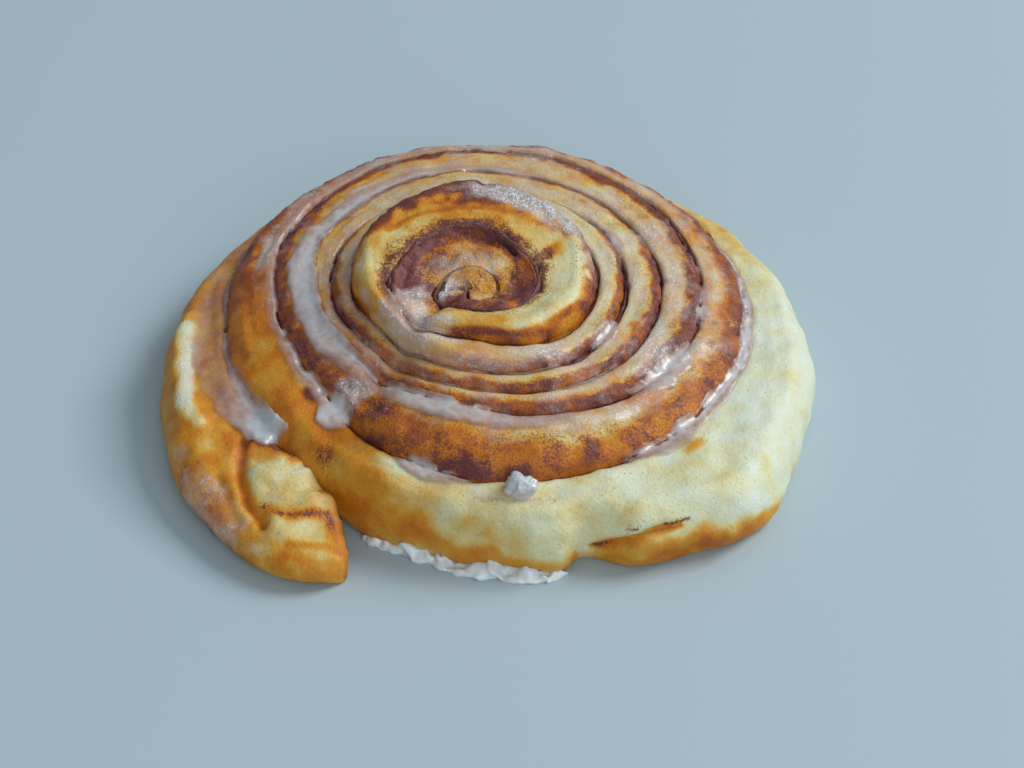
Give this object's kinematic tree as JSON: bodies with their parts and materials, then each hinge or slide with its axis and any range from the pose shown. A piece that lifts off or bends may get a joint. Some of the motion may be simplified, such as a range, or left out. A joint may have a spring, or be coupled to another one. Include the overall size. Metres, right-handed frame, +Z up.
{
  "type": "cinnamon bun",
  "caption": "Flat cinnamon bun: a coiled strip of golden dough with dark filling between its turns, a raised heart, white icing in the grooves and a loose end at the front left.",
  "frame": {"origin": "centre of the bounding box on the surface that the bun stands on", "axes": "+X to the right of the picture, +Y away from its camera, +Z up; the loose end of the coil points to -X and -Y"},
  "size_m": [0.1368, 0.133, 0.0353],
  "materials": {
    "crust": "baked, golden brown to pale, satin",
    "cinnamon": "dark, grainy, slightly moist",
    "icing": "white, set, glossy"
  },
  "bodies": {
    "root": {"dough_coil": "crust", "cinnamon_filling": "cinnamon", "icing_middle_seam": "icing", "icing_left_seam": "icing", "icing_right_seam": "icing", "icing_tail": "icing", "icing_foot": "icing", "icing_lump": "icing"}
  },
  "joints": []
}
